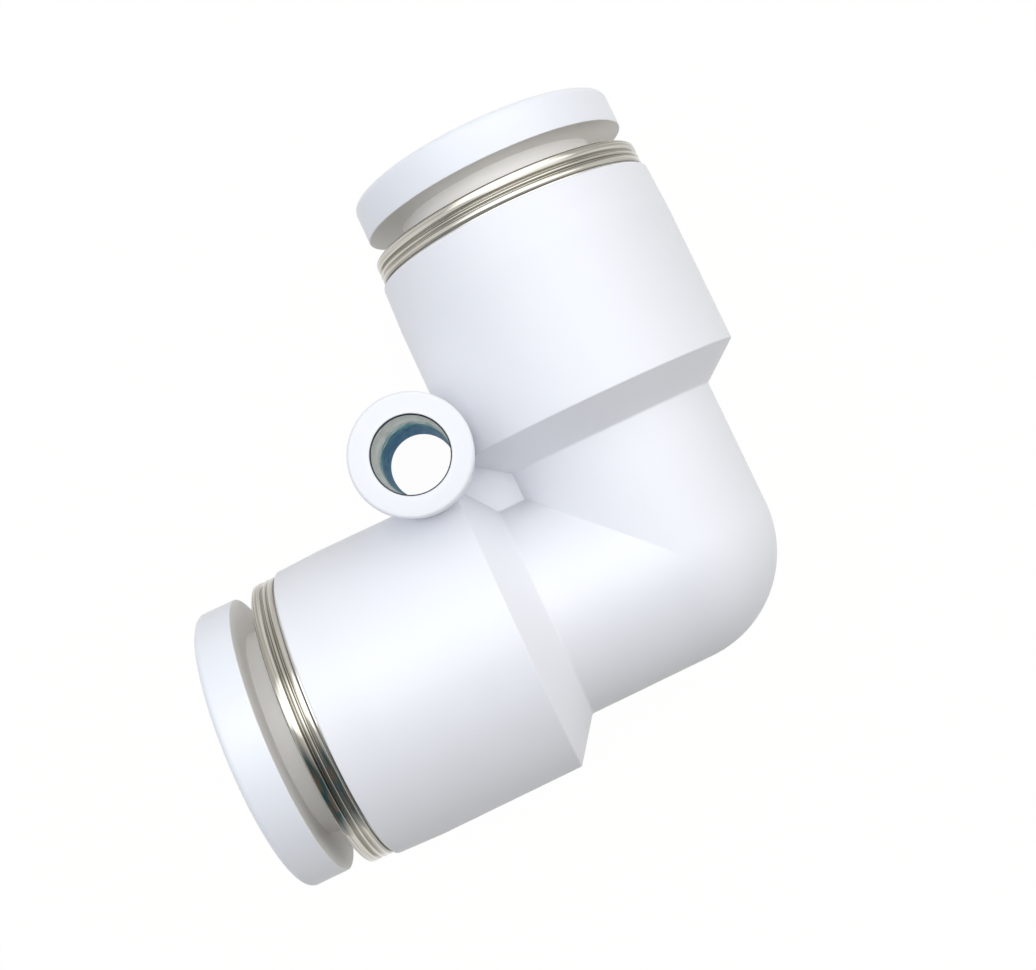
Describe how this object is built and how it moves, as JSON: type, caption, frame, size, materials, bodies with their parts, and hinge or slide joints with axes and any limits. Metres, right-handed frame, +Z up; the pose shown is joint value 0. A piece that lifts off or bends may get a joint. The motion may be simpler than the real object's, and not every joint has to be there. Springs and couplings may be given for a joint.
{
  "type": "pneumatic elbow fitting",
  "caption": "Push-in union elbow for 10 mm air tube, with a press-to-release ring at each port and a through boss for a mounting screw in the inner corner.",
  "frame": {"origin": "on the axis of the boss's mounting hole, at the boss's lower seating face", "axes": "+X out of port a, +Y out of port b, +Z up along the mounting hole"},
  "size_m": [0.035, 0.035, 0.0175],
  "materials": {
    "body_plastic": "smooth moulded",
    "ring_plastic": "smooth moulded",
    "plated_brass": "nickel plated",
    "sleeve_steel": "bright",
    "spring_steel": "stamped",
    "seat_plastic": "moulded",
    "seal_rubber": "moulded"
  },
  "bodies": {
    "elbow": {"housing": "body_plastic", "mount_bush": "sleeve_steel", "guide_ring_a": "plated_brass", "lock_claws_a": "spring_steel", "claw_seat_a": "seat_plastic", "seal_a": "seal_rubber", "guide_ring_b": "plated_brass", "lock_claws_b": "spring_steel", "claw_seat_b": "seat_plastic", "seal_b": "seal_rubber"},
    "release_a": {"release_ring_a": "ring_plastic"},
    "release_b": {"release_ring_b": "ring_plastic"}
  },
  "joints": [
    {"name": "release_a_press", "type": "slide", "parent": "elbow", "child": "release_a", "axis": [-1, 0, 0], "range_m": [0, 0.0012], "stiffness_N_per_m": 2000},
    {"name": "release_b_press", "type": "slide", "parent": "elbow", "child": "release_b", "axis": [0, -1, 0], "range_m": [0, 0.0012], "stiffness_N_per_m": 2000}
  ]
}
